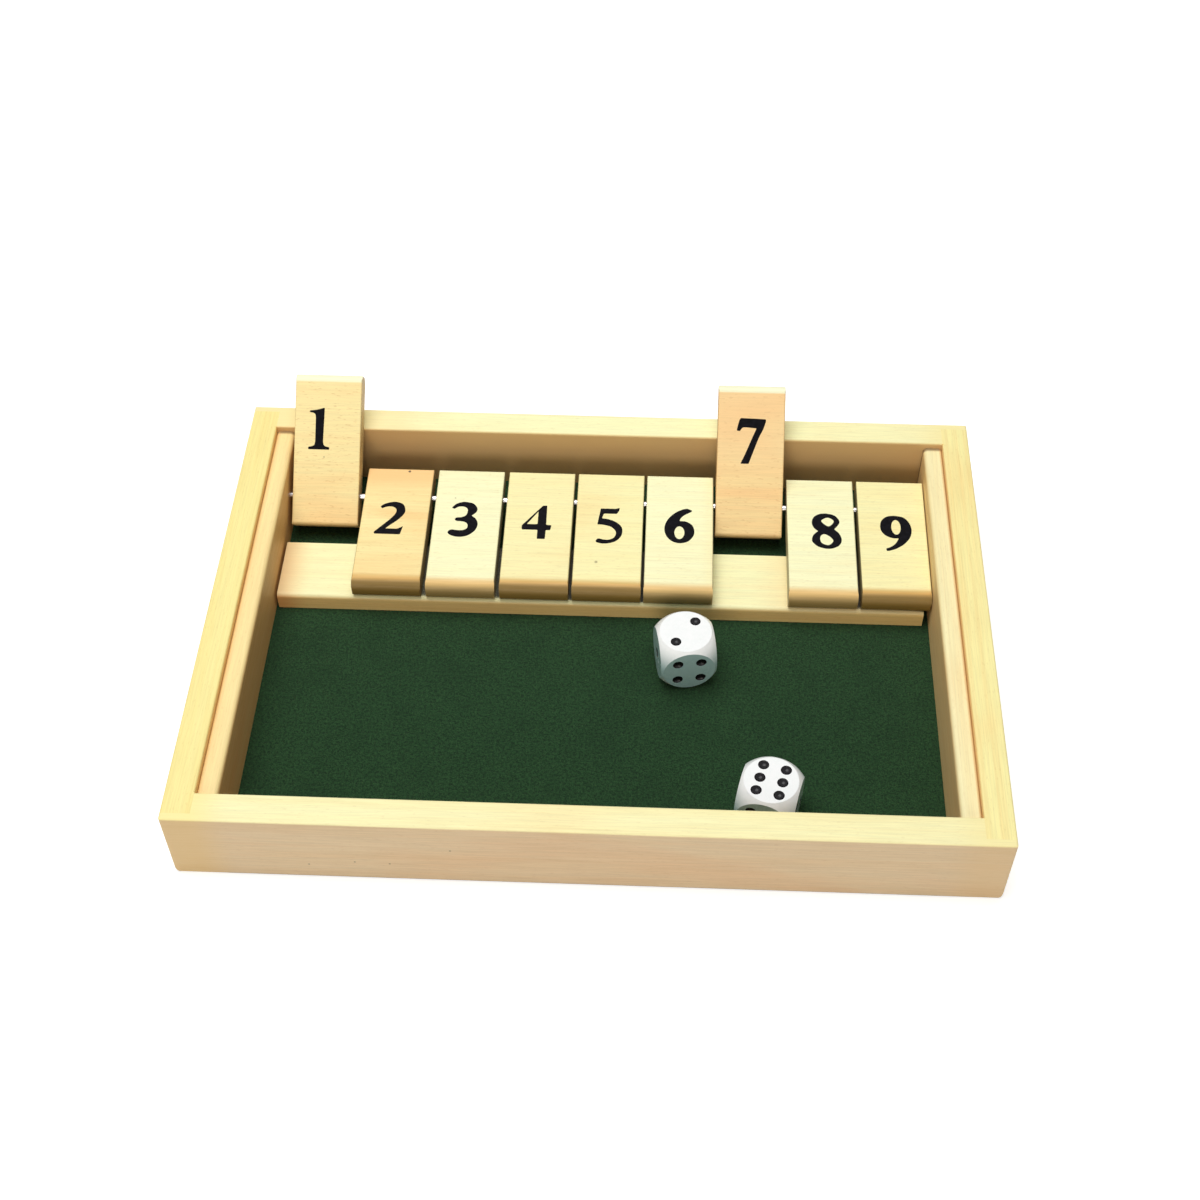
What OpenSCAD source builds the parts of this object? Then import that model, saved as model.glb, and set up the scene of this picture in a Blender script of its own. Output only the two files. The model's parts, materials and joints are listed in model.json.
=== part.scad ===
// Shut the box: a shallow wooden dice tray with nine numbered tiles hinged on a steel rod.
// Millimetres. +X runs to the player's right, -Y faces the player and +Z is up.
// The origin is the middle of the underside, which lies on the table.
// Tiles 1 and 7 are flipped back against the back rail; the other seven lie on the rest bar.

/* [Tray] */
// Width of the tray over the side rails
box_w = 220; // [200:1:260]
// Depth of the tray over the front and back rails
box_d = 153.5; // [145:0.5:190]
// Height of the four rails
box_h = 25; // [22:0.5:30]
// Thickness of the side rails
side_rail_t = 8; // [6.5:0.1:10]
// Thickness of the front and back rails
cross_rail_t = 8.8; // [7:0.1:11]
// Lip of the front and back rails that covers the ends of the side rails
lip_t = 2.2; // [1:0.1:4]
// Rounding of the rails' top edges
top_r = 0.6; // [0.2:0.1:1.2]
// Rounding of the side rails' lower outer edges
side_foot_r = 2.6; // [0.2:0.1:2.8]
// Rounding of the lower outer edges of the front and back rails
cross_foot_r = 0.6; // [0.2:0.1:2.5]
// Rounding of the tray's upright corners
corner_r = 0.9; // [0.3:0.1:1.8]

/* [Floor] */
// Thickness of the plywood base panel
panel_t = 3; // [2:0.1:5]
// How far the panel is let into the rails on each side
panel_let_in = 4; // [2:0.1:5]
// Thickness of the felt on the panel
felt_t = 1; // [0.5:0.1:2]

/* [Side strips] */
// Thickness of the strips that hold the rod
strip_w = 5.6; // [4.5:0.1:9]
// How far the strips' tops lie below the rails' tops
strip_drop = 1.8; // [0.5:0.1:4]
// Rounding of a strip's top edge on the tile side
strip_inner_r = 1.5; // [0.8:0.1:3.4]
// Rounding of a strip's top edge on the rail side
strip_outer_r = 0.9; // [0.3:0.1:1]

/* [Rest bar] */
// Width of the bar that the lying tiles rest on, from front to back
bar_d = 21; // [15:0.5:26]
// Thickness of the bar
bar_t = 5.6; // [4:0.1:6.5]
// Rounding of the bar's front top edge
bar_r = 1.4; // [0.5:0.1:3]
// Gap between the bar and the left strip
bar_gap_left = 0.8; // [0.2:0.1:3]
// Gap between the bar and the right strip
bar_gap_right = 1.9; // [0.2:0.1:3]
// How far the lying tiles' noses stand out over the bar's front
nose_over = 0.3; // [0:0.1:1.5]

/* [Tiles] */
// Length of a tile from the hinged end to the nose
tile_l = 46; // [40:0.1:50]
// Thickness of a tile
tile_t = 6.2; // [5:0.1:7]
// Rounding of a lying tile's nose above, limited by the tile's thickness
nose_top_r = 3.3; // [1:0.1:4]
// Rounding of a lying tile's nose below, limited by the tile's thickness
nose_under_r = 2.3; // [1:0.1:3]
// Rounding of a lying tile's hinged end below
heel_under_r = 1.2; // [0.2:0.1:2]
// Rounding of a tile's other edges
tile_edge_r = 0.45; // [0.2:0.05:0.8]
// Distance from the rod to a tile's hinged end
rod_inset = 9.2; // [6:0.1:10]
// Gap between neighbouring tiles
tile_gap = 1.1; // [0.6:0.1:1.6]
// Gap between tile 1 and the left strip
row_gap_left = 2; // [0.4:0.1:4]
// Gap between tile 9 and the right strip
row_gap_right = 0.2; // [0.2:0.1:4]
// How far tile 1 has slid along the rod to the left
slip_1 = 0.8; // [0:0.1:1.5]
// How far tile 3 has slid along the rod to the right
slip_3 = 0.4; // [0:0.1:0.8]
// How far tile 4 has slid along the rod to the right
slip_4 = 0.7; // [0.1:0.1:0.9]
// How far tile 5 has slid along the rod to the right
slip_5 = 0.6; // [0.2:0.1:0.9]
// How far tile 6 has slid along the rod to the right
slip_6 = 0.3; // [0:0.1:0.6]
// How far tile 7 has slid along the rod to the left
slip_7 = 0.1; // [0:0.1:0.4]

/* [Hinge rod] */
// Diameter of the steel rod
rod_d = 2; // [1.5:0.1:3]
// Distance from the rod to the back rail
rod_to_back = 18.3; // [15:0.1:21]
// How deep each end of the rod is sunk into its strip
rod_sink = 4; // [2:0.1:4.2]

/* [Dice] */
// Edge length of a die
die_s = 16; // [12:0.5:18]
// Radius of the ball that rounds off a die's corners, as a multiple of its half edge
die_ball = 1.36; // [1.3:0.01:1.5]
// Diameter of a pip's mouth
pip_d = 3; // [2:0.1:3.4]
// Depth of a pip
pip_depth = 0.8; // [0.3:0.1:1.2]
// Distance from a face's middle to its outer pips, both ways
pip_side = 3.3; // [2.8:0.1:4]
// Distance from the middle to the outer pips along the rows of three
pip_row = 4.2; // [3.6:0.1:4.5]
// Distance from the middle to the two columns of a six
six_side = 3.1; // [2.6:0.1:4]
// Gap between the felt and a resting die
die_lift = 0.1; // [0.05:0.05:0.3]
// Distance from die A's middle to the rest bar
die_a_to_bar = 18.1; // [14:0.1:24]
// Distance from die A's middle to the right strip
die_a_to_side = 71.6; // [60:0.1:90]
// Turn of die A on the felt, in degrees
die_a_turn = 10; // [-45:1:45]
// Distance from die B's middle to the front rail
die_b_to_front = 13; // [12.5:0.1:20]
// Distance from die B's middle to the right strip
die_b_to_side = 48.4; // [15:0.1:60]
// Turn of die B on the felt, in degrees
die_b_turn = -14.5; // [-45:0.5:45]

/* [Clearances] */
// Radial clearance between the rod and a tile's bore
rod_play = 0.06; // [0.02:0.01:0.1]
// Radial clearance between the rod and its hole in a strip
rod_seat = 0.02; // [0:0.01:0.05]
// Gap that stays between a resting tile and what it rests on
rest_gap = 0.12; // [0.05:0.01:0.3]
// Room under a tile's hinged end while it swings over the felt
swing_room = 0.3; // [0.2:0.1:1.5]

/* [Hidden] */
$fn = 48;
cut = 1;                                // how far a cutting body runs past the face it cuts

// Tray
inner_w = box_w - 2 * side_rail_t;
inner_d = box_d - 2 * cross_rail_t;
tongue_l = cross_rail_t - lip_t;              // part of a side rail's end that the lip covers
panel_w = inner_w + 2 * panel_let_in;
panel_d = inner_d + 2 * panel_let_in;
felt_top = panel_t + felt_t;

// Side strips
strip_h = box_h - strip_drop - felt_top;
strip_face_x = inner_w / 2 - strip_w;   // inner face of the right strip

// Rod and tiles
slips = [-slip_1, 0, slip_3, slip_4, slip_5, slip_6, -slip_7, 0, 0];
tile_count = len(slips);
nose_top_share = 0.6;                   // most of the thickness that the nose's upper rounding takes
nose_share = 0.95;                      // most of the thickness that both its roundings take
nose_top = min(nose_top_r, nose_top_share * tile_t);
nose_under = min(nose_under_r, nose_share * tile_t - nose_top);
rod_y = inner_d / 2 - rod_to_back;
tile_reach = tile_l - rod_inset;        // rod to nose
heel_r = norm([rod_inset, tile_t / 2]); // sweep of the hinged end's corners
rod_z = felt_top + heel_r + swing_room;
row_w = 2 * strip_face_x - row_gap_left - row_gap_right;
tile_w = (row_w - (tile_count - 1) * tile_gap) / tile_count;
tile_pitch = tile_w + tile_gap;
row_left_x = -strip_face_x + row_gap_left;

// Rest bar
bar_front_y = rod_y - tile_reach + nose_over;
bar_back_y = bar_front_y + bar_d;
bar_top = felt_top + bar_t;

// A lying tile's angle: its nose or the bar's back edge stops it, whichever it meets first.
nose_u = tile_reach - nose_under;
nose_drop = rod_z - nose_under - bar_top - rest_gap;
nose_off = tile_t / 2 - nose_under;
lie_on_nose = atan2(nose_off, nose_u) - asin(nose_drop / norm([nose_u, nose_off]));
edge_y = rod_y - bar_back_y;
edge_z = bar_top + rest_gap - rod_z;
lie_on_edge = atan2(edge_z, edge_y) + asin(tile_t / 2 / norm([edge_y, edge_z]));
lie_angle = max(lie_on_nose, lie_on_edge);

// A flipped tile's angle: its back leans on the rounded inner edge of the back rail.
lean_y = rod_to_back + top_r;
lean_z = box_h - top_r - rod_z;
lean_off = tile_t / 2 + rest_gap + top_r;
lean_angle = 180 - atan2(lean_z, lean_y) - asin(lean_off / norm([lean_y, lean_z]));

// Dice
die_a_x = strip_face_x - die_a_to_side;
die_a_y = bar_front_y - die_a_to_bar;
die_b_x = strip_face_x - die_b_to_side;
die_b_y = -inner_d / 2 + die_b_to_front;
pip_ball_r = (pow(pip_d / 2, 2) + pow(pip_depth, 2)) / (2 * pip_depth);

// Colours
rail_colour = [0.93, 0.84, 0.62];
tile_colour = [0.94, 0.83, 0.60];
strip_colour = [0.93, 0.80, 0.60];
panel_colour = [0.82, 0.70, 0.52];
felt_colour = [0.10, 0.26, 0.16];
rod_colour = [0.75, 0.75, 0.76];
die_colour = [0.96, 0.97, 0.96];

// A rectangle from [0, 0] to [w, h] with its corners cut off as far as their radii reach
function cut_rectangle(w, h, r) = concat(
    r[0] > 0 ? [[0, r[0]], [r[0], 0]] : [[0, 0]],
    r[1] > 0 ? [[w - r[1], 0], [w, r[1]]] : [[w, 0]],
    r[2] > 0 ? [[w, h - r[2]], [w - r[2], h]] : [[w, h]],
    r[3] > 0 ? [[r[3], h], [0, h - r[3]]] : [[0, h]]);

// A rectangle from [0, 0] to [w, h] with its own radius at each corner:
// lower left, lower right, upper right, upper left
module soft_rectangle(w, h, r) {
    middles = [[r[0], r[0]], [w - r[1], r[1]], [w - r[2], h - r[2]], [r[3], h - r[3]]];
    polygon(cut_rectangle(w, h, r));
    for (i = [0:3])
        if (r[i] > 0) translate(middles[i]) circle(r[i]);
}

// Extrusion of an [x, z] outline along +Y, from y = 0 to y = l
module along_y(l) {
    translate([0, l, 0]) rotate([90, 0, 0]) linear_extrude(l) children();
}

// Extrusion of a [y, z] outline along +X, from x = 0 to x = l
module along_x(l) {
    rotate([90, 0, 90]) linear_extrude(l) children();
}

// The outside of the assembled tray, with its corners, top edges and foot rounded
module tray_outside() {
    intersection() {
        translate([-box_w / 2, -box_d / 2, 0])
            linear_extrude(box_h) soft_rectangle(box_w, box_d, corner_r * [1, 1, 1, 1]);
        translate([-box_w / 2, -box_d / 2, 0])
            along_y(box_d)
                soft_rectangle(box_w, box_h, [side_foot_r, side_foot_r, top_r, top_r]);
        translate([-box_w / 2, -box_d / 2, 0])
            along_x(box_w)
                soft_rectangle(box_d, box_h, [cross_foot_r, cross_foot_r, top_r, top_r]);
    }
}

// The space that the base panel fills, open below
module panel_space() {
    translate([-panel_w / 2, -panel_d / 2, -cut]) cube([panel_w, panel_d, panel_t + cut]);
}

// Section of a rail of thickness t that stands on [0, 0]: the inner top edge is at the right
module rail_section(t) {
    soft_rectangle(t, box_h, [0, 0, top_r, 0]);
}

// The back rail runs the full width. Its ends are thinned to the lip that covers the side rails.
module cross_rail() {
    difference() {
        intersection() {
            tray_outside();
            union() {
                translate([-inner_w / 2, box_d / 2, 0])
                    mirror([0, 1, 0]) along_x(inner_w) rail_section(cross_rail_t);
                translate([-box_w / 2, box_d / 2 - lip_t, 0]) cube([box_w, lip_t, box_h]);
            }
        }
        panel_space();
    }
}

// The left rail runs between the lips, with a plain tongue at each end
module long_rail() {
    difference() {
        intersection() {
            tray_outside();
            union() {
                translate([-box_w / 2, -inner_d / 2, 0])
                    along_y(inner_d) rail_section(side_rail_t);
                for (s = [-1, 1])
                    translate([-box_w / 2, s * (inner_d + tongue_l) / 2 - tongue_l / 2, 0])
                        cube([side_rail_t, tongue_l, box_h]);
            }
        }
        panel_space();
    }
}

module front_rail() {
    color(rail_colour) mirror([0, 1, 0]) cross_rail();
}

module back_rail() {
    color(rail_colour) cross_rail();
}

module left_rail() {
    color(rail_colour) long_rail();
}

module right_rail() {
    color(rail_colour) mirror([1, 0, 0]) long_rail();
}

// Plywood panel, let into the rails and flush with their undersides
module base_panel() {
    color(panel_colour)
        translate([-panel_w / 2, -panel_d / 2, 0]) cube([panel_w, panel_d, panel_t]);
}

// Felt, cut to the space between the rails. The strips and the rest bar are glued on it.
module felt() {
    color(felt_colour)
        translate([-inner_w / 2, -inner_d / 2, panel_t]) cube([inner_w, inner_d, felt_t]);
}

// The right strip, with its blind hole for the rod
module side_strip() {
    difference() {
        translate([strip_face_x, -inner_d / 2, felt_top])
            along_y(inner_d)
                soft_rectangle(strip_w, strip_h, [0, 0, strip_outer_r, strip_inner_r]);
        translate([strip_face_x - cut, rod_y, rod_z])
            rotate([0, 90, 0]) cylinder(h = rod_sink + cut, r = rod_d / 2 + rod_seat);
    }
}

module left_strip() {
    color(strip_colour) mirror([1, 0, 0]) side_strip();
}

module right_strip() {
    color(strip_colour) side_strip();
}

// The flat bar under the tiles' noses, rounded along its front top edge
module rest_bar() {
    bar_l = 2 * strip_face_x - bar_gap_left - bar_gap_right;
    color(strip_colour)
        translate([-strip_face_x + bar_gap_left, bar_front_y, felt_top])
            along_x(bar_l)
                soft_rectangle(bar_d, bar_t, [0, 0, 0, bar_r]);
}

// Steel rod through all the tiles, sunk into both strips
module hinge_rod() {
    rod_l = 2 * (strip_face_x + rod_sink);
    color(rod_colour)
        translate([-rod_l / 2, rod_y, rod_z]) rotate([0, 90, 0]) cylinder(h = rod_l, d = rod_d);
}

// One tile with the rod's axis on the X axis and its nose towards -Y. Three outlines meet in it:
// the side with the round nose, the plan with its corners, and the end with its four edges.
module tile_body() {
    r = tile_edge_r;
    difference() {
        intersection() {
            translate([-tile_w / 2, -tile_reach, -tile_t / 2])
                along_x(tile_w) soft_rectangle(tile_l, tile_t, [nose_under, heel_under_r, r, nose_top]);
            translate([-tile_w / 2, -tile_reach, -tile_t / 2])
                linear_extrude(tile_t) soft_rectangle(tile_w, tile_l, r * [1, 1, 1, 1]);
            translate([-tile_w / 2, -tile_reach, -tile_t / 2])
                along_y(tile_l) soft_rectangle(tile_w, tile_t, r * [1, 1, 1, 1]);
        }
        translate([-tile_w / 2 - cut, 0, 0])
            rotate([0, 90, 0]) cylinder(h = tile_w + 2 * cut, r = rod_d / 2 + rod_play);
    }
}

// Where the middle of tile number i stands along the rod, counted from the left
function tile_x(i) = row_left_x + tile_w / 2 + (i - 1) * tile_pitch + slips[i - 1];

// Tile number i of the row. Angle 0 lies flat and 90 stands upright.
module tile(i, angle) {
    color(tile_colour)
        translate([tile_x(i), rod_y, rod_z]) rotate([-angle, 0, 0]) tile_body();
}

// Where the pips of a face stand, for the numbers 1 to 6
function pips(n) =
    n == 1 ? [[0, 0]] :
    n == 2 ? [[-pip_side, -pip_side], [pip_side, pip_side]] :
    n == 3 ? concat(pips(1), pips(2)) :
    n == 4 ? [for (x = [-1, 1], y = [-1, 1]) pip_side * [x, y]] :
    n == 5 ? concat(pips(1), pips(4)) :
    [for (x = [-1, 1], y = [-1, 0, 1]) [x * six_side, y * pip_row]];

// Dimples for the number n, cut into the face whose middle is at the height of half a die
module face_pips(n) {
    for (p = pips(n))
        translate([p[0], p[1], die_s / 2 - pip_depth + pip_ball_r]) sphere(pip_ball_r);
}

// A die about its own middle. The numbers are those on top, in front and on the left;
// opposite faces add up to seven. The pips in front are turned by front_turn.
module die_body(top, front, left, front_turn = 0) {
    difference() {
        intersection() {
            cube(die_s, center = true);
            sphere(die_s / 2 * die_ball);
        }
        face_pips(top);
        rotate([180, 0, 0]) face_pips(7 - top);
        rotate([90, 0, 0]) rotate(front_turn) face_pips(front);
        rotate([-90, 0, 0]) face_pips(7 - front);
        rotate([0, -90, 0]) face_pips(left);
        rotate([0, 90, 0]) face_pips(7 - left);
    }
}

// Die A shows two on top and four in front
module die_a() {
    color(die_colour)
        translate([die_a_x, die_a_y, felt_top + die_lift + die_s / 2])
            rotate([0, 0, die_a_turn]) die_body(2, 4, 1);
}

// Die B shows six on top and three in front, running down from the upper left
module die_b() {
    color(die_colour)
        translate([die_b_x, die_b_y, felt_top + die_lift + die_s / 2])
            rotate([0, 0, die_b_turn]) die_body(6, 3, 5, 90);
}

front_rail();
back_rail();
left_rail();
right_rail();
base_panel();
felt();
left_strip();
right_strip();
rest_bar();
hinge_rod();
tile(1, lean_angle);  // tile_1
tile(2, lie_angle);  // tile_2
tile(3, lie_angle);  // tile_3
tile(4, lie_angle);  // tile_4
tile(5, lie_angle);  // tile_5
tile(6, lie_angle);  // tile_6
tile(7, lean_angle);  // tile_7
tile(8, lie_angle);  // tile_8
tile(9, lie_angle);  // tile_9
die_a();
die_b();
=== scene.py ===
import json
import math

import bpy
import numpy as np
from mathutils import Matrix, Vector


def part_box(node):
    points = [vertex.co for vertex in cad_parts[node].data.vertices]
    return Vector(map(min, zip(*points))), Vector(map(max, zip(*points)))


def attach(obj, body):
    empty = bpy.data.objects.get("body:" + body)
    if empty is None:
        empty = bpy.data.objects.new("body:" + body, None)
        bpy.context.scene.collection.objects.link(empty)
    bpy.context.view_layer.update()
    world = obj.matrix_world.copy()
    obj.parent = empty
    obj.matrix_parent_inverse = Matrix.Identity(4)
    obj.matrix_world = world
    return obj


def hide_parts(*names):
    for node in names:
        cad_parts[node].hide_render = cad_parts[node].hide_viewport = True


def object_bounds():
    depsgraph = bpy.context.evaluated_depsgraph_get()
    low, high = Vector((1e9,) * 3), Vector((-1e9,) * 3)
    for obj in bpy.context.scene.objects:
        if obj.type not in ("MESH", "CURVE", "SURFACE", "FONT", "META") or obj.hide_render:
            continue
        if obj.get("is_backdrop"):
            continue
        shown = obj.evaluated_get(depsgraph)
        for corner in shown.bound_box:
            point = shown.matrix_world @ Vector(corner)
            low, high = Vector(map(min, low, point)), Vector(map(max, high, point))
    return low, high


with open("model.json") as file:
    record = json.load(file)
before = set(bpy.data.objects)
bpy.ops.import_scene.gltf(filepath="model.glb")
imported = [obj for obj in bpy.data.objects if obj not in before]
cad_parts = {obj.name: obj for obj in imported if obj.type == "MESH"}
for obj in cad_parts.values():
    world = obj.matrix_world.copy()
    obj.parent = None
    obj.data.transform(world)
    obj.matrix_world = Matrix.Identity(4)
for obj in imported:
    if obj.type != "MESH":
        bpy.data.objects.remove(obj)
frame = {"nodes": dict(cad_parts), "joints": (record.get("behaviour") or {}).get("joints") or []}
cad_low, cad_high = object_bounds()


# The camera stands on the player's side, about 51 degrees above the table, and looks down into
# the tray. Its place and angles come from the tray's own corners and edges in the photograph.
picture_px = 1200
focal_px = 1790.68
aim_px = (612.08, 635.61)
camera_place = (0.01631, -0.32712, 0.40963)
camera_tilt = 39.412
camera_roll = 0.0025
camera_turn = 2.184
sensor_mm = 36

camera = bpy.data.cameras.new("camera")
camera.sensor_width = sensor_mm
camera.lens = focal_px * sensor_mm / picture_px
camera.shift_x = (picture_px / 2 - aim_px[0]) / picture_px
camera.shift_y = (aim_px[1] - picture_px / 2) / picture_px
camera_stand = bpy.data.objects.new("camera", camera)
camera_stand.location = camera_place
camera_stand.rotation_euler = [math.radians(a) for a in (camera_tilt, camera_roll, camera_turn)]
bpy.context.collection.objects.link(camera_stand)
bpy.context.scene.camera = camera_stand


# The four rails are planed beech, 8 and 8.8 mm thick, glued at lapped corners. Front and back rails run
# the full width, and their lips cover the ends of the side rails. A thin satin lacquer lies on
# them. The grain runs along each rail, with fine streaks, short flecks and a few pink patches.
mm = 0.001
nodes = frame["nodes"]


def srgb(red, green, blue):
    """A screen colour from 0 to 255 as the linear colour that a shader takes."""
    return [((c / 255 + 0.055) / 1.055) ** 2.4 if c > 10 else c / 3294.6 for c in (red, green, blue)] + [1]


def add(tree, kind, inputs, **settings):
    """A new node in the tree. An input is a number, a colour or another node's output."""
    made = tree.nodes.new(kind)
    for name, value in settings.items():
        setattr(made, name, value)
    for name, value in inputs.items():
        if isinstance(value, bpy.types.NodeSocket):
            tree.links.new(value, made.inputs[name])
        else:
            made.inputs[name].default_value = value
    return made


def sum_up(tree, operation, a, b=0.0, c=0.0):
    """The result of a Math node."""
    return add(tree, "ShaderNodeMath", {0: a, 1: b, 2: c}, operation=operation).outputs[0]


def tint(tree, share, under, over, blend="MIX"):
    """The colour over laid on the colour under, by the given share."""
    made = add(tree, "ShaderNodeMix", {0: share, 6: under, 7: over}, data_type="RGBA", blend_type=blend)
    return made.outputs[2]


def between(tree, value, low, high, out_low=0.0, out_high=1.0):
    """The value's place between low and high, eased at both ends."""
    inputs = {"Value": value, 1: low, 2: high, 3: out_low, 4: out_high}
    return add(tree, "ShaderNodeMapRange", inputs, interpolation_type="SMOOTHSTEP").outputs[0]


def cloud(tree, place, size, stretch=(1, 1, 1), detail=2.0, rough=0.5, bend=0.0):
    """Soft noise with features of that size in millimetres, longer by the stretch."""
    scaled = add(tree, "ShaderNodeVectorMath", {0: place, 1: [1 / s for s in stretch]}, operation="MULTIPLY")
    inputs = {"Vector": scaled.outputs[0], "Scale": 1 / size, "Detail": detail,
              "Roughness": rough, "Distortion": bend}
    return add(tree, "ShaderNodeTexNoise", inputs).outputs[0]


def new_material(name):
    """An empty material, its node tree and its surface shader."""
    material = bpy.data.materials.new(name)
    material.use_nodes = True
    tree = material.node_tree
    return material, tree, tree.nodes["Principled BSDF"]


def millimetres(tree, where, turn=0.0, shift=(0, 0, 0)):
    """The place on the piece in millimetres, turned about Z and shifted to other grain."""
    inputs = {"Vector": where.outputs["Object"], "Location": shift, "Rotation": (0, 0, turn),
              "Scale": (1000, 1000, 1000)}
    return add(tree, "ShaderNodeMapping", inputs).outputs[0]


def finish(tree, surface, colour, roughness, height, strength, depth):
    """Joins a colour, a roughness and a fine relief of that depth in metres to the surface."""
    relief = add(tree, "ShaderNodeBump", {"Strength": strength, "Distance": depth, "Height": height})
    tree.links.new(colour, surface.inputs["Base Color"])
    tree.links.new(roughness, surface.inputs["Roughness"])
    tree.links.new(relief.outputs[0], surface.inputs["Normal"])


def paint(node, material):
    """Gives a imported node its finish. Its mesh stays as it is."""
    for holder in nodes[node].material_slots:
        holder.material = material


def shade(axis, start, full, share, tone, on_top=False):
    """A tone that grows along an axis from one place to another, all round or only on the top."""
    return {"axis": "xyz".index(axis), "places": (start, full), "share": share, "tone": tone,
            "on_top": on_top}


def wood(name, pale, warm, side, grain_axis, seed, pink=0.3, streak=0.5, fleck=0.12, spots=(),
         nose=None, cut=1.0, shades=(), gaps_from=None):
    """Lacquered beech. The grain runs along axis 0 (X) or 1 (Y). Side faces get painted shade: they are
    made darker and browner by the colour side. Sawn ends are darker, by the share cut. A nose has the
    way it points, how far its tip is that way, how many millimetres back from the tip its painted tone
    starts and is full, that tone, which is painted shade on a lying tile and a painted highlight on a
    standing one, and the tip's darker painted shade with the slopes between which it comes. A spot is
    a small dark mark at a place in metres, with its radius in millimetres and its strength. From the Y
    gaps_from on, the top gets painted shade wherever other pieces leave only a narrow gap over it."""
    material, tree, surface = new_material(name)
    where = add(tree, "ShaderNodeTexCoord", {})
    turn = 0 if grain_axis == 0 else math.pi / 2
    place = millimetres(tree, where, turn, (37.0 * seed, 11.3 * seed, 5.9 * seed))

    streaks = cloud(tree, place, 2.6, (45, 1, 1), detail=5, rough=0.6, bend=0.4)
    lines = cloud(tree, place, 0.9, (60, 1, 1), detail=3, bend=0.3)
    fibres = cloud(tree, place, 0.4, (30, 1, 1), detail=3, rough=0.6)
    patches = cloud(tree, place, 26, (2.5, 1, 1), bend=0.6)
    pores = cloud(tree, place, 0.5, detail=3, rough=0.6)
    rings = cloud(tree, place, 1.6, (1, 8, 1), bend=0.8)
    dashes = between(tree, cloud(tree, place, 0.4, (4, 1, 1), detail=1.5, rough=0.4), 0.60, 0.74)

    pinkish = [c * share for c, share in zip(warm, (1, 0.92, 0.88))]
    dark = [c * share for c, share in zip(warm, (0.80, 0.68, 0.52))]
    colour = tint(tree, between(tree, streaks, 0.36, 0.68, 0, streak), srgb(*pale), srgb(*warm))
    colour = tint(tree, between(tree, patches, 0.48, 0.72, 0, pink), colour, srgb(*pinkish))
    colour = tint(tree, between(tree, lines, 0.60, 0.74, 0, 0.25 * streak), colour, srgb(*dark))
    colour = tint(tree, sum_up(tree, "MULTIPLY", dashes, fleck), colour, srgb(*dark))
    level = between(tree, fibres, 0.3, 0.7, 0.93, 1.02)
    grey = add(tree, "ShaderNodeCombineColor", {0: level, 1: level, 2: level}).outputs[0]
    colour = tint(tree, 1.0, colour, grey, "MULTIPLY")

    at = add(tree, "ShaderNodeSeparateXYZ", {0: where.outputs["Object"]}).outputs
    facing = add(tree, "ShaderNodeSeparateXYZ", {0: where.outputs["Normal"]}).outputs
    for part in shades:
        strength = between(tree, at[part["axis"]], *part["places"], 0, part["share"])
        if part["on_top"]:
            strength = sum_up(tree, "MULTIPLY", strength, between(tree, facing[2], 0.3, 0.9))
        colour = tint(tree, strength, colour, srgb(*part["tone"]))

    # Painted light on a tile's nose: a tone near its tip, painted shade on a lying tile and a painted
    # highlight on a standing one, and more painted shade as its faces turn the nose's way.
    if nose:
        inputs = {0: where.outputs["Normal"], 1: nose["way"]}
        slope = add(tree, "ShaderNodeVectorMath", inputs, operation="DOT_PRODUCT").outputs[1]
        inputs = {0: where.outputs["Object"], 1: nose["way"]}
        along = add(tree, "ShaderNodeVectorMath", inputs, operation="DOT_PRODUCT").outputs[1]
        near = between(tree, along, *[nose["tip_at"] - back * mm for back in nose["painted_back"]])
        colour = tint(tree, near, colour, tint(tree, 1.0, srgb(*nose["wear_and_shading"]), grey, "MULTIPLY"))
        darker = between(tree, slope, *nose["tip_slopes"])
        colour = tint(tree, darker, colour, srgb(*nose["tip"]), "MULTIPLY")
    else:
        # Painted shade: side faces are darkened and browned by the side colour, as if less lit.
        painted_upright_shade = between(tree, sum_up(tree, "ABSOLUTE", facing[2]), 0.9, 0.2)
        colour = tint(tree, painted_upright_shade, colour, srgb(*side), "MULTIPLY")

    end_cut = between(tree, sum_up(tree, "ABSOLUTE", facing[grain_axis]), 0.6, 0.95)
    end_dark = srgb(*[c * cut for c in dark])
    end_colour = tint(tree, between(tree, pores, 0.4, 0.65), srgb(*[c * cut for c in warm]), end_dark)
    end_colour = tint(tree, between(tree, rings, 0.4, 0.6, 0, 0.4), end_colour, end_dark)
    colour = tint(tree, sum_up(tree, "MULTIPLY", end_cut, 0.75), colour, end_colour)

    # Painted shade: the top is made almost black where other pieces close over it, read from an occlusion
    # node.
    if gaps_from is not None:
        bare = add(tree, "ShaderNodeAmbientOcclusion", {"Distance": 7 * mm}, samples=16).outputs["AO"]
        closed = between(tree, bare, 0.42, 0.22, 0, 0.95)
        closed = sum_up(tree, "MULTIPLY", closed, between(tree, facing[2], 0.8, 0.95))
        behind = between(tree, at[1], gaps_from, gaps_from + 0.5 * mm)
        colour = tint(tree, sum_up(tree, "MULTIPLY", behind, closed), colour, srgb(26, 17, 10))

    for spot, radius, strength in spots:
        away = add(tree, "ShaderNodeVectorMath", {0: where.outputs["Object"], 1: spot}, operation="DISTANCE")
        ragged = sum_up(tree, "MULTIPLY_ADD", fibres, 0.6 * radius * mm, away.outputs[1])
        near = between(tree, ragged, 0.9 * radius * mm, 1.5 * radius * mm, strength, 0)
        colour = tint(tree, near, colour, srgb(70, 45, 25))

    height = sum_up(tree, "MULTIPLY_ADD", dashes, -0.4, fibres)
    roughness = between(tree, fibres, 0.3, 0.7, 0.60, 0.45)
    finish(tree, surface, colour, roughness, height, 0.25, 0.03 * mm)
    return material


# Painted shade: the rails' side faces are darkened and browned by this colour. The front rail has its own,
# the third colour in its call below.
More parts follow.
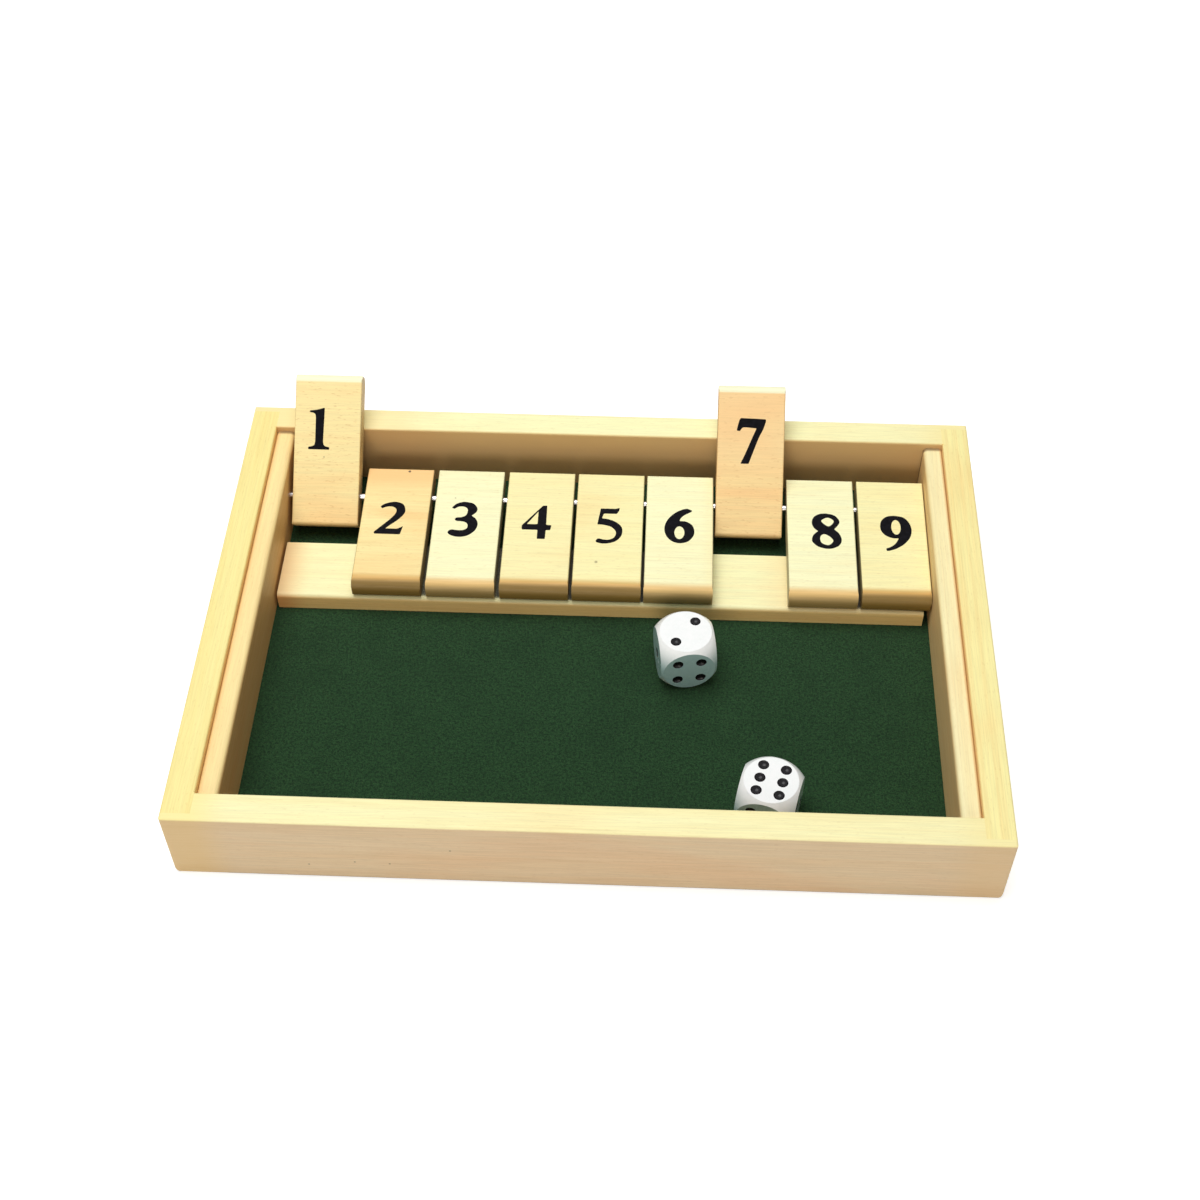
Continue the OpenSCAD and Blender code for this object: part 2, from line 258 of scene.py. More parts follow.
rail_upright_shade = (250, 226, 226)
# Painted shadow: a thin dark band at the foot of each rail, where it meets the table.
painted_foot_shadow = shade("z", 0.9 * mm, 0.2 * mm, 0.75, (120, 112, 92))
front_marks = [((x * mm, cad_low.y, z * mm), 0.3, 0.55)
               for x, z in ((-73.3, 6.0), (-61.0, 7.8), (-51.8, 7.4), (-35.4, 14.6))]
front_shades = [painted_foot_shadow,
                shade("x", -92 * mm, -103 * mm, 0.75, (252, 236, 156)),
                shade("x", 92 * mm, 104 * mm, 0.5, (252, 234, 160))]
back_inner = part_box("felt")[1].y
back_shades = [painted_foot_shadow,
               # Painted shade: the back rail's inner face is made browner and darker than its outer one.
               shade("y", back_inner + 0.7 * mm, back_inner + 0.1 * mm, 0.95, (224, 204, 140)),
               shade("x", -84 * mm, -98 * mm, 0.6, (252, 232, 162), on_top=True),
               shade("x", -56 * mm, -66 * mm, 0.35, (252, 224, 160), on_top=True),
               shade("x", 92 * mm, 104 * mm, 0.5, (252, 234, 160), on_top=True)]
paint("front_rail", wood("front_rail_wood", (252, 246, 188), (252, 236, 170), (232, 212, 224), 0, 1.0,
                         spots=front_marks, shades=front_shades))
paint("back_rail", wood("back_rail_wood", (255, 253, 196), (254, 246, 184), rail_upright_shade, 0, 2.3,
                        shades=back_shades))
paint("left_rail", wood("left_rail_wood", (252, 237, 158), (250, 228, 142), rail_upright_shade, 1, 3.1,
                        shades=[painted_foot_shadow]))
paint("right_rail", wood("right_rail_wood", (255, 244, 170), (250, 226, 150), rail_upright_shade, 1, 4.7,
                         streak=0.6, shades=[painted_foot_shadow]))


# The base is a thin plywood panel, let into the rails from below and flush with their undersides.
# Only its bare underside shows, with the peeled veneer's wide, wavy grain.
# The third colour is painted shade on the panel's side faces.
paint("base_panel", wood("base_panel_wood", (222, 190, 142), (196, 158, 108), (240, 224, 210), 0, 5.2,
                         streak=0.9, fleck=0.6))


# The felt is a sheet of dark green pressed wool, 1 mm thick, glued on the panel. The side strips
# and the rest bar stand on it. Short fibres lie loose on its face.
felt_low, felt_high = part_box("felt")
felt_cells = (102, 68)
felt_uneven = 0.05 * mm
nap_density = 0.37e6
fibre_length = 1.9 * mm
fibre_radius = 0.014 * mm
fibre_tilt = 0.06

felt_green = srgb(34, 69, 38)
felt_deep = srgb(16, 42, 22)
felt_light = srgb(62, 96, 58)


def felt_surface():
    """Mottled green wool: crossing fibres, small clumps and a soft sheen."""
    material, tree, surface = new_material("green_wool")
    place = millimetres(tree, add(tree, "ShaderNodeTexCoord", {}))
    clumps = cloud(tree, place, 0.8, detail=3, rough=0.7)
    fuzz = cloud(tree, place, 0.4, detail=3, rough=0.7)
    wear_and_shading = cloud(tree, place, 9, detail=3)
    strands = cloud(tree, place, 0.22, (6, 1, 1), rough=0.6, bend=1.5)
    crossing = cloud(tree, place, 0.22, (1, 6, 1), rough=0.6, bend=1.5)
    colour = tint(tree, between(tree, clumps, 0.35, 0.65), felt_deep, felt_green)
    colour = tint(tree, between(tree, fuzz, 0.45, 0.75, 0, 0.6), colour, felt_light)
    colour = tint(tree, between(tree, wear_and_shading, 0.4, 0.7, 0, 0.25), colour, felt_deep)
    threads = sum_up(tree, "MAXIMUM", strands, crossing)
    colour = tint(tree, between(tree, threads, 0.55, 0.75, 0, 0.5), colour, felt_light)
    height = sum_up(tree, "ADD", sum_up(tree, "ADD", fuzz, threads), clumps)
    finish(tree, surface, colour, between(tree, fuzz, 0.3, 0.7, 0.85, 1.0), height, 0.7, 0.15 * mm)
    surface.inputs["Specular IOR Level"].default_value = 0.1
    surface.inputs["Sheen Weight"].default_value = 0.08
    surface.inputs["Sheen Roughness"].default_value = 0.6
    return material


def new_piece(name, points, faces, material):
    """A mesh piece at the origin, with its place in its points."""
    mesh = bpy.data.meshes.new(name)
    mesh.from_pydata([tuple(p) for p in points], [], [tuple(f) for f in faces])
    mesh.materials.append(material)
    mesh.validate()
    piece = bpy.data.objects.new(name, mesh)
    bpy.context.collection.objects.link(piece)
    return piece


def felt_slab(material):
    """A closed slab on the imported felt's box. Its top is pressed a little uneven."""
    across, deep = felt_cells
    xs = np.linspace(felt_low.x, felt_high.x, across + 1)
    ys = np.linspace(felt_low.y, felt_high.y, deep + 1)
    draw = np.random.default_rng(7)
    dips = draw.uniform(0, felt_uneven, (deep + 1, across + 1))
    dips[[0, -1], :] = 0
    dips[:, [0, -1]] = 0
    row = across + 1
    points = [(x, y, felt_high.z - dips[j, i]) for j, y in enumerate(ys) for i, x in enumerate(xs)]
    points += [(x, y, felt_low.z) for y in ys for x in xs]
    under = row * (deep + 1)
    faces = []
    for j in range(deep):
        for i in range(across):
            a = j * row + i
            faces.append((a, a + 1, a + row + 1, a + row))
            faces.append((under + a, under + a + row, under + a + row + 1, under + a + 1))
    rim = list(range(across)) + [across + j * row for j in range(deep)]
    rim += [deep * row + i for i in range(across, 0, -1)] + [j * row for j in range(deep, 0, -1)]
    for a, b in zip(rim, rim[1:] + rim[:1]):
        faces.append((a, under + a, under + b, b))
    return new_piece("felt_sheet", points, faces, material)


def nap_tree(material):
    """Bent fibres strewn flat over a surface, by named inputs."""
    tree = bpy.data.node_groups.new("felt_nap", "GeometryNodeTree")
    face = tree.interface
    face.new_socket("Geometry", in_out="INPUT", socket_type="NodeSocketGeometry")
    for name in ("Fibres per square metre", "Fibre length", "Fibre radius"):
        face.new_socket(name, in_out="INPUT", socket_type="NodeSocketFloat")
    face.new_socket("Seed", in_out="INPUT", socket_type="NodeSocketInt")
    face.new_socket("Geometry", in_out="OUTPUT", socket_type="NodeSocketGeometry")
    given = add(tree, "NodeGroupInput", {}).outputs
    spread = add(tree, "GeometryNodeDistributePointsOnFaces",
                 {"Mesh": given["Geometry"], "Density": given["Fibres per square metre"],
                  "Seed": given["Seed"]})
    half = sum_up(tree, "MULTIPLY", given["Fibre length"], 0.5)
    back = sum_up(tree, "MULTIPLY", half, -1.0)
    bow = sum_up(tree, "MULTIPLY", half, 0.5)
    start = add(tree, "ShaderNodeCombineXYZ", {0: back}).outputs[0]
    middle = add(tree, "ShaderNodeCombineXYZ", {1: bow, 2: given["Fibre radius"]}).outputs[0]
    end = add(tree, "ShaderNodeCombineXYZ", {0: half}).outputs[0]
    line = add(tree, "GeometryNodeCurveQuadraticBezier",
               {"Resolution": 3, "Start": start, "Middle": middle, "End": end})
    ring = add(tree, "GeometryNodeCurvePrimitiveCircle", {"Resolution": 3, "Radius": given["Fibre radius"]})
    fibre = add(tree, "GeometryNodeCurveToMesh",
                {"Curve": line.outputs[0], "Profile Curve": ring.outputs[0], "Fill Caps": True})
    twist = add(tree, "FunctionNodeRandomValue",
                {0: (-fibre_tilt, -fibre_tilt, -math.pi), 1: (fibre_tilt, fibre_tilt, math.pi),
                 "Seed": given["Seed"]},
                data_type="FLOAT_VECTOR")
    size = add(tree, "FunctionNodeRandomValue", {0: (0.35, 0.3, 0.5), 1: (1.2, 1.4, 1.2)},
               data_type="FLOAT_VECTOR")
    strewn = add(tree, "GeometryNodeInstanceOnPoints",
                 {"Points": spread.outputs["Points"], "Instance": fibre.outputs[0],
                  "Rotation": twist.outputs[0], "Scale": size.outputs[0]})
    whole = add(tree, "GeometryNodeRealizeInstances", {"Geometry": strewn.outputs[0]})
    finished = add(tree, "GeometryNodeSetMaterial", {"Geometry": whole.outputs[0], "Material": material})
    add(tree, "NodeGroupOutput", {"Geometry": finished.outputs[0]})
    return tree


def settle(piece, tree, values):
    """Runs a geometry tree on the piece with those inputs and keeps its result as a plain mesh."""
    modifier = piece.modifiers.new("making", "NODES")
    modifier.node_group = tree
    for socket in tree.interface.items_tree:
        if socket.name in values:
            modifier[socket.identifier] = values[socket.name]
    ready = piece.evaluated_get(bpy.context.evaluated_depsgraph_get())
    mesh = bpy.data.meshes.new_from_object(ready)
    piece.modifiers.remove(modifier)
    piece.data = mesh
    return piece


wool = felt_surface()
felt = felt_slab(wool)
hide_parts("felt")
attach(felt, "tray")

strip_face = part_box("right_strip")[0].x
inset = 0.7 * mm
nap_corners = [(-strip_face + inset, felt_low.y + inset), (strip_face - inset, felt_low.y + inset),
               (strip_face - inset, felt_high.y - inset), (-strip_face + inset, felt_high.y - inset)]
nap = new_piece("felt_nap", [(x, y, felt_high.z) for x, y in nap_corners], [(0, 1, 2, 3)], wool)
nap_values = {"Fibres per square metre": nap_density, "Fibre length": fibre_length,
              "Fibre radius": fibre_radius, "Seed": 3}
settle(nap, nap_tree(wool), nap_values)
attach(nap, "tray")


# The side strips are moulded beech with a rounded top. They stand on the felt against the side
# rails and hold the rod's ends. The rest bar is a flat strip, rounded along its front edge.
strip_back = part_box("left_strip")[1].y
# Painted shade: a dark band on each side strip's back end, where it meets the back rail.
strip_end_shade = shade("y", strip_back - 1.6 * mm, strip_back - 0.6 * mm, 0.8, (112, 78, 42))
left_out, right_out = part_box("left_strip")[0].x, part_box("right_strip")[1].x
# Painted shade: each strip's top turns tan and darker towards its outer edge, beside the side rail.
left_edge_shade = shade("x", left_out + 2 * mm, left_out, 0.4, (226, 178, 116))
right_edge_shade = shade("x", right_out - 1.2 * mm, right_out, 0.7, (196, 150, 98))
# Painted shade on the rest bar: its left end beside the left strip, and its top towards tile 8.
bar_painted_shade = [shade("x", -86 * mm, -95 * mm, 0.75, (246, 204, 146)),
              shade("x", 42 * mm, 62 * mm, 0.5, (246, 204, 146), on_top=True)]
noses_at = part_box("tile_3")[0].y
# The third colour of each strip and of the rest bar is painted shade on its side faces.
paint("left_strip", wood("left_strip_wood", (253, 230, 162), (252, 216, 146), (214, 190, 172), 1, 6.4,
                         shades=[strip_end_shade, left_edge_shade]))
paint("right_strip", wood("right_strip_wood", (252, 242, 188), (250, 230, 168), (232, 208, 188), 1, 7.9,
                          shades=[strip_end_shade, right_edge_shade]))
paint("rest_bar", wood("rest_bar_wood", (254, 252, 196), (253, 240, 180), (255, 220, 188), 0, 8.3,
                       shades=bar_painted_shade, gaps_from=noses_at + 0.1 * mm))


# The hinge rod is bright drawn steel wire, 2 mm thick. All nine tiles turn on it, and its ends sit
# in blind holes in the side strips.
def drawn_steel():
    """Bright steel with fine scratches along the wire."""
    material, tree, surface = new_material("drawn_steel")
    place = millimetres(tree, add(tree, "ShaderNodeTexCoord", {}))
    scratches = cloud(tree, place, 0.12, (60, 1, 1), detail=3, rough=0.6)
    colour = tint(tree, between(tree, scratches, 0.3, 0.7), srgb(188, 188, 190), srgb(226, 226, 228))
    roughness = between(tree, scratches, 0.3, 0.7, 0.34, 0.18)
    finish(tree, surface, colour, roughness, scratches, 0.3, 0.01 * mm)
    surface.inputs["Metallic"].default_value = 1.0
    return material


paint("hinge_rod", drawn_steel())


# Nine flat beech tiles turn on the rod. Their grain runs across, from side to side, and each was
# cut from another stick, so each has its own shade. Some carry a small knot, speck or stain.
tile_shades = {
    1: ((254, 234, 168), (254, 222, 154), 0.5),
    2: ((253, 234, 166), (252, 218, 146), 0.80),
    3: ((254, 252, 203), (253, 248, 192), 0.05),
    4: ((253, 244, 182), (252, 236, 168), 0.25),
    5: ((253, 246, 184), (252, 236, 166), 0.40),
    6: ((254, 253, 204), (253, 246, 188), 0.10),
    7: ((252, 220, 156), (252, 208, 144), 0.55),
    8: ((254, 253, 204), (253, 244, 186), 0.10),
    9: ((253, 246, 184), (252, 236, 166), 0.20),
}
tile_marks = {
    1: [((-0.08595, 0.05667, 0.02368), 0.3, 0.35)],
    2: [((-0.06043, 0.05771, 0.01740), 0.45, 0.95)],
    3: [((-0.04545, 0.04738, 0.01703), 0.3, 0.4)],
    5: [((-0.00183, 0.02378, 0.01622), 0.5, 0.5)],
}
tile_tones = {
    2: [shade("y", 47 * mm, 56 * mm, 0.85, (252, 204, 136))],
    6: [shade("x", 28 * mm, 33 * mm, 0.25, (250, 222, 150))],
    7: [shade("z", 20 * mm, 28 * mm, 0.35, (252, 222, 166))],
}
# Painted light on the noses: the standing tiles 1 and 7 get a painted highlight near the tip, the others
# painted shade, lighter on tiles 3, 6 and 8.
highlit_nose = {"painted_back": (2.6, 2.0), "wear_and_shading": (255, 254, 214), "tip": (255, 255, 255), "tip_slopes": (0, 1)}
lightly_shaded_nose = {"painted_back": (4.5, 2.0), "wear_and_shading": (236, 196, 124), "tip": (178, 180, 172),
              "tip_slopes": (0.4, 1.0)}
deeply_shaded_nose = {"painted_back": (5.1, 2.4), "wear_and_shading": (214, 167, 82), "tip": (166, 170, 162),
              "tip_slopes": (0.12, 0.6)}
tile_nose_shading = {1: highlit_nose, 3: lightly_shaded_nose, 6: lightly_shaded_nose, 7: highlit_nose, 8: lightly_shaded_nose}


def tile_axes(number):
    """A tile's rod centre, the way from the rod to its nose, and the way out of the face that is
    its upper one when it lies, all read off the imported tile."""
    hinge = next(j for j in frame["joints"] if j["child"] == f"tile_{number}")
    rod = Vector(hinge["pos_m"])
    mesh = nodes[f"tile_{number}"].data
    broad = max(mesh.polygons, key=lambda face: face.area).normal.copy()
    low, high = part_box(f"tile_{number}")
    body_middle = (low + high) / 2 - rod
    body_middle.x = 0
    to_nose = Vector((1, 0, 0)).cross(broad).normalized()
    if to_nose.dot(body_middle) < 0:
        to_nose = -to_nose
    upper = to_nose.cross(Vector((1, 0, 0)))
    return rod, to_nose, upper


for number, (pale, warm, pink) in tile_shades.items():
    rod, to_nose, upper = tile_axes(number)
    tip_at = max(v.co.dot(to_nose) for v in nodes[f"tile_{number}"].data.vertices)
    nose = {"way": tuple(to_nose), "tip_at": tip_at, **tile_nose_shading.get(number, deeply_shaded_nose)}
    fleck, cut = (0.3, 0.92) if number in (1, 7) else (0.16, 0.55)
    beech = wood(f"tile_{number}_wood", pale, warm, None, 0, 9 + 1.7 * number, pink, 0.4, fleck,
                 tile_marks.get(number, ()), nose, cut, tile_tones.get(number, ()))
    paint(f"tile_{number}", beech)


# The numbers are stamped in black on both faces of every tile, in a bold old-style figure. On a
# lying tile the figure's head points to the rod, and on the other face it points to the nose.
ink_stands = 0.03 * mm
ink_sinks = 0.02 * mm
corner_soft = 0.28
outline_step = 0.12
run_steps = 16


def oval(x, y, half_w, half_h):
    """A closed oval, as one smooth run."""
    turns = [2 * math.pi * i / 12 for i in range(12)]
    return [[(x + half_w * math.cos(t), y + half_h * math.sin(t)) for t in turns]]


# Each figure is a list of closed outlines in millimetres, from its lower left corner. An outline
# is a list of smooth runs that meet at corners: a run starts at a corner and ends at the next one.
figures = {
    1: [
        [
            [(0.2, 11.3)],
            [(0.2, 11.8), (2.4, 12.1)],
            [(4.75, 12.75)],
            [(4.5, 2.4), (4.8, 1.3), (5.6, 0.9)],
            [(6.45, 0.75)],
            [(6.45, 0)],
            [(0, 0)],
            [(0, 0.75), (0.9, 0.9), (1.8, 1.3)],
            [(2.1, 2.4)],
            [(2.1, 9.9), (1.9, 10.7), (1.4, 11.1)],
        ],
    ],
    2: [
        [
            [(0.9, 10.8), (1.9, 11.8), (3.75, 12.6), (5.6, 12.8), (7.7, 11.9), (8.55, 9.6),
             (8.1, 7.7), (6.5, 5.5), (4.6, 3.6)],
            [(3.25, 2.15)],
            [(6.75, 2.15), (7.9, 2.8)],
            [(8.5, 3.3)],
            [(7.9, 0)],
            [(0.15, 0)],
            [(0, 0.7), (2.1, 3.2), (4.4, 6.0), (5.6, 7.9), (5.9, 9.3), (5.5, 10.3), (4.4, 10.9),
             (2.9, 10.8)],
            [(1.45, 10.1)],
        ],
    ],
    3: [
        [
            [(0.5, 11.5), (1.7, 13.0), (3.3, 13.75), (4.6, 13.9), (6.9, 13.3), (8.2, 11.5),
             (8.0, 9.9)],
            [(6.7, 8.5), (8.1, 7.2), (8.8, 5.1), (8.1, 2.6), (6.0, 0.6), (3.5, 0), (1.25, 0.5),
             (0.1, 1.5), (0.5, 2.5), (1.25, 2.8), (2.9, 2.6), (4.6, 2.7), (5.75, 3.6), (5.7, 5.1),
             (4.9, 5.9), (3.3, 6.2), (2.3, 6.25), (1.75, 7.0), (2.3, 7.6), (3.75, 7.8), (5.0, 8.6),
             (5.4, 10.3), (5.1, 11.4), (4.0, 12.0), (2.5, 11.9)],
            [(1.25, 11.0)],
        ],
    ],
    4: [
        [
            [(0.1, 3.5)],
            [(0, 5.1)],
            [(5.9, 13.1)],
            [(7.2, 13.25)],
            [(7.3, 5.6)],
            [(8.9, 5.4)],
            [(8.6, 3.5)],
            [(7.3, 3.5)],
            [(7.2, 0)],
            [(4.8, 0)],
            [(4.8, 3.5)],
        ],
        [
            [(4.7, 10.8)],
            [(4.7, 5.7)],
            [(1.5, 5.7)],
        ],
    ],
    5: [
        [
            [(1.1, 13.75)],
            [(5.6, 13.75)],
            [(6.8, 14.2)],
            [(6.7, 13.1)],
            [(6.0, 11.75)],
            [(2.1, 11.75)],
            [(1.6, 9.9), (3.75, 9.5), (6.0, 8.4), (7.5, 6.75), (7.9, 5.0), (7.5, 2.9), (6.0, 1.0),
             (3.75, 0.1), (1.7, 0), (0.2, 0.5)],
            [(0.1, 1.2), (0.8, 1.9), (2.5, 1.5), (4.2, 1.6), (5.5, 2.5), (6.0, 4.0), (5.6, 5.4),
             (4.2, 6.7), (2.1, 7.3)],
            [(0.3, 7.4)],
            [(0.55, 9.4)],
        ],
    ],
    6: [
        [
            [(8.2, 13.0)],
            [(6.75, 13.7), (5.1, 13.2), (2.8, 11.6), (0.9, 9.1), (0, 6.0), (0.5, 3.0), (2.2, 0.8),
             (4.5, 0), (7.0, 0.7), (8.6, 2.8), (8.95, 4.9), (8.3, 7.1), (6.5, 8.5)],
            [(4.5, 8.7), (4.7, 9.5), (5.5, 10.7), (7.0, 11.8)],
            [(8.1, 12.5)],
        ],
        oval(4.5, 4.1, 1.5, 2.5),
    ],
    7: [
        [
            [(1.2, 13.8)],
            [(8.75, 13.6)],
            [(8.8, 13.0), (8.0, 10.5), (6.8, 8.0), (5.1, 3.4)],
            [(3.9, 0)],
            [(1.4, 0), (2.8, 3.0), (4.5, 7.2)],
            [(6.0, 10.8), (2.4, 11.0), (1.6, 10.7)],
            [(1.0, 9.8)],
            [(0, 10.0), (0.25, 11.1)],
            [(0.75, 13.2)],
        ],
    ],
    8: [
        [
            [(4.4, 13.9), (6.9, 13.2), (8.3, 11.25), (8.1, 9.7)],
            [(6.7, 7.7), (8.1, 6.1), (8.8, 3.8), (8.25, 1.75), (6.7, 0.5), (4.6, 0), (1.9, 0.7),
             (0.2, 2.4), (0, 3.8), (0.6, 5.5)],
            [(1.9, 6.75), (0.6, 8.2), (0.1, 10.3), (0.8, 12.4), (2.5, 13.6)],
        ],
        [
            [(4.9, 12.25), (6.6, 11.1), (6.2, 9.7), (5.0, 8.8), (3.5, 9.9), (3.0, 11.1)],
        ],
        [
            [(3.8, 5.7), (5.4, 4.7), (6.3, 3.2), (5.4, 1.75), (4.4, 1.45), (2.9, 2.2), (2.4, 3.6),
             (2.7, 5.1)],
        ],
    ],
    9: [
        [
            [(4.5, 14.2), (7.2, 13.5), (8.8, 11.25), (9.3, 8.5), (8.7, 5.8), (7.0, 3.3),
             (4.5, 1.3)],
            [(2.2, 0.3)],
            [(1.5, 0.3)],
            [(1.3, 1.2), (2.8, 1.9), (4.25, 3.25)],
            [(5.3, 5.3), (3.6, 5.3), (1.5, 6.25), (0.3, 7.9), (0, 9.8), (0.5, 12.1), (2.2, 13.75)],
        ],
        oval(4.7, 9.6, 1.4, 2.9),
    ],
}

# Where a figure's middle stands: its distance from the rod and its shift to the player's right,
# in millimetres, first on the lying tile's upper face and then on its other face.
figure_places = {
    1: ((10.9, -2.8), (20.15, -2.56)),
    2: ((10.8, -1.33), (20.4, -1.0)),
    3: ((10.6, -0.92), (20.2, 0.3)),
    4: ((10.85, -0.52), (20.3, -0.4)),
    5: ((11.5, 0.12), (19.9, 0.5)),
    6: ((10.8, 0.0), (20.2, -0.8)),
    7: ((11.2, -0.4), (19.85, 0.0)),
    8: ((11.25, 1.55), (20.1, 0.6)),
    9: ((11.4, 1.0), (20.3, 0.2)),
}


def smooth_run(points):
    """Points along a Catmull-Rom curve through the given ones, which may be only two."""
    p = np.array(points, float)
    p = np.vstack([2 * p[0] - p[1], p, 2 * p[-1] - p[-2]])
    t = np.linspace(0, 1, run_steps, endpoint=False)[:, None]
    pieces = []
    for a, b, c, d in zip(p, p[1:], p[2:], p[3:]):
        pieces.append(0.5 * (2 * b + (c - a) * t + (2 * a - 5 * b + 4 * c - d) * t**2
                             + (3 * b - a - 3 * c + d) * t**3))
    return np.vstack(pieces)


def soft_outline(runs):
    """The closed outline of those runs, in even steps, with its corners softened."""
    if len(runs) == 1:
        loop = np.array(runs[0], float)
        ring = np.vstack([loop[-2:], loop, loop[:2]])
        line = smooth_run(ring)[2 * run_steps:-run_steps]
    else:
        line = np.vstack([smooth_run(run + [after[0]]) for run, after in zip(runs, runs[1:] + runs[:1])])
    closed = np.vstack([line, line[:1]])
    gone = np.concatenate([[0], np.cumsum(np.linalg.norm(np.diff(closed, axis=0), axis=1))])
    count = int(gone[-1] / outline_step)
    even = np.linspace(0, gone[-1], count, endpoint=False)
    line = np.column_stack([np.interp(even, gone, closed[:, k]) for k in (0, 1)])
    reach = round(corner_soft / outline_step)
    return sum(np.roll(line, s, axis=0) for s in range(-reach, reach + 1)) / (2 * reach + 1)


def figure_mesh(number):
    """A flat figure about its own middle, in metres, as thick as the ink."""
    outlines = [soft_outline(runs) for runs in figures[number]]
    middle = (outlines[0].min(0) + outlines[0].max(0)) / 2
    curve = bpy.data.curves.new(f"figure_{number}", "CURVE")
    curve.dimensions = "2D"
    curve.fill_mode = "BOTH"
    curve.extrude = (ink_stands + ink_sinks) / 2
    for outline in outlines:
        spline = curve.splines.new("POLY")
        spline.points.add(len(outline) - 1)
        for point, (x, y) in zip(spline.points, (outline - middle) * mm):
            point.co = (x, y, 0, 1)
        spline.use_cyclic_u = True
    holder = bpy.data.objects.new(f"figure_{number}", curve)
    bpy.context.collection.objects.link(holder)
    mesh = bpy.data.meshes.new_from_object(holder.evaluated_get(bpy.context.evaluated_depsgraph_get()))
    mesh.transform(Matrix.Translation((0, 0, (ink_stands - ink_sinks) / 2)))
    bpy.data.objects.remove(holder)
    return mesh


def stamping_ink():
    """Black ink, a little uneven, with the wood's pores showing as dull specks."""
    material, tree, surface = new_material("stamping_ink")
    place = millimetres(tree, add(tree, "ShaderNodeTexCoord", {}))
    blots = cloud(tree, place, 1.2, detail=3)
    specks = cloud(tree, place, 0.3, (4, 1, 1))
    colour = tint(tree, between(tree, blots, 0.35, 0.7), srgb(7, 6, 10), srgb(17, 16, 22))
    colour = tint(tree, between(tree, specks, 0.66, 0.8, 0, 0.5), colour, srgb(60, 50, 46))
    finish(tree, surface, colour, between(tree, specks, 0.3, 0.7, 0.5, 0.7), specks, 0.3, 0.02 * mm)
    surface.inputs["Specular IOR Level"].default_value = 0.06
    return material


ink = stamping_ink()
for number, places in figure_places.items():
    rod, to_nose, upper = tile_axes(number)
    half_thick = max((v.co - rod).dot(upper) for v in nodes[f"tile_{number}"].data.vertices)
    for face, (from_rod, shift) in zip(("upper", "under"), places):
        out = upper if face == "upper" else -upper
        head = -to_nose if face == "upper" else to_nose
        right = head.cross(out)
        middle = rod + to_nose * from_rod * mm + right * shift * mm + out * half_thick
        axes = Matrix((right, head, out)).transposed().to_4x4()
        mesh = figure_mesh(number)
        mesh.transform(Matrix.Translation(middle) @ axes)
        mesh.materials.clear()
        mesh.materials.append(ink)
        figure = bpy.data.objects.new(f"number_{number}_{face}", mesh)
        bpy.context.collection.objects.link(figure)
        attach(figure, f"tile_{number}")


# The dice are glossy white plastic, 16 mm, with their corners rounded off by a ball. They lie
# loose on the felt.
def white_plastic():
    """Moulded white plastic, polished, with faint wear and painted grey-green shade on its steep faces."""
    material, tree, surface = new_material("white_plastic")
    where = add(tree, "ShaderNodeTexCoord", {})
    place = millimetres(tree, where)
    wear = cloud(tree, place, 2.5, detail=5, rough=0.65)
    colour = tint(tree, between(tree, wear, 0.35, 0.7), srgb(254, 255, 254), srgb(247, 250, 248))
    facing = add(tree, "ShaderNodeSeparateXYZ", {0: where.outputs["Normal"]}).outputs
    # Painted shade: steep faces of the dice are made darker and grey-green.
    painted_upright_shade = between(tree, sum_up(tree, "ABSOLUTE", facing[2]), 0.75, 0.05)
    colour = tint(tree, painted_upright_shade, colour, srgb(172, 204, 205), "MULTIPLY")
    finish(tree, surface, colour, between(tree, wear, 0.3, 0.7, 0.16, 0.3), wear, 0.15, 0.02 * mm)
    return material


plastic = white_plastic()
paint("die_a", plastic)
paint("die_b", plastic)


# Every pip is a dimple in the plastic, lined with black enamel. The lining follows the dimple and
# is drawn up thin at its rim. Opposite faces of a die add up to seven.
pip_radius = 1.5
pip_depth = 0.8
pip_side = 3.3
pip_row = 4.2
six_side = 3.1
enamel_thick = 0.04
die_faces = {
    "die_a": {"turn": 10, "top": 2, "front": 4, "left": 1, "front_turn": 0},
    "die_b": {"turn": -14.5, "top": 6, "front": 3, "left": 5, "front_turn": 90},
}


def pip_spots(count):
    """Where the pips of a face stand about its middle, in millimetres."""
    diagonal = [(-pip_side, -pip_side), (pip_side, pip_side)]
    square = [(x, y) for x in (-pip_side, pip_side) for y in (-pip_side, pip_side)]
    rows = [(x, y) for x in (-six_side, six_side) for y in (-pip_row, 0, pip_row)]
    return {1: [(0, 0)], 2: diagonal, 3: [(0, 0)] + diagonal, 4: square, 5: [(0, 0)] + square, 6: rows}[count]


def black_enamel():
    """Glossy black paint, a little uneven where it pooled."""
    material, tree, surface = new_material("black_enamel")
    place = millimetres(tree, add(tree, "ShaderNodeTexCoord", {}))
    pooled = cloud(tree, place, 0.8, detail=3)
    colour = tint(tree, between(tree, pooled, 0.35, 0.7), srgb(8, 6, 10), srgb(20, 15, 22))
    finish(tree, surface, colour, between(tree, pooled, 0.3, 0.7, 0.12, 0.3), pooled, 0.2, 0.02 * mm)
    surface.inputs["Specular IOR Level"].default_value = 0.25
    return material


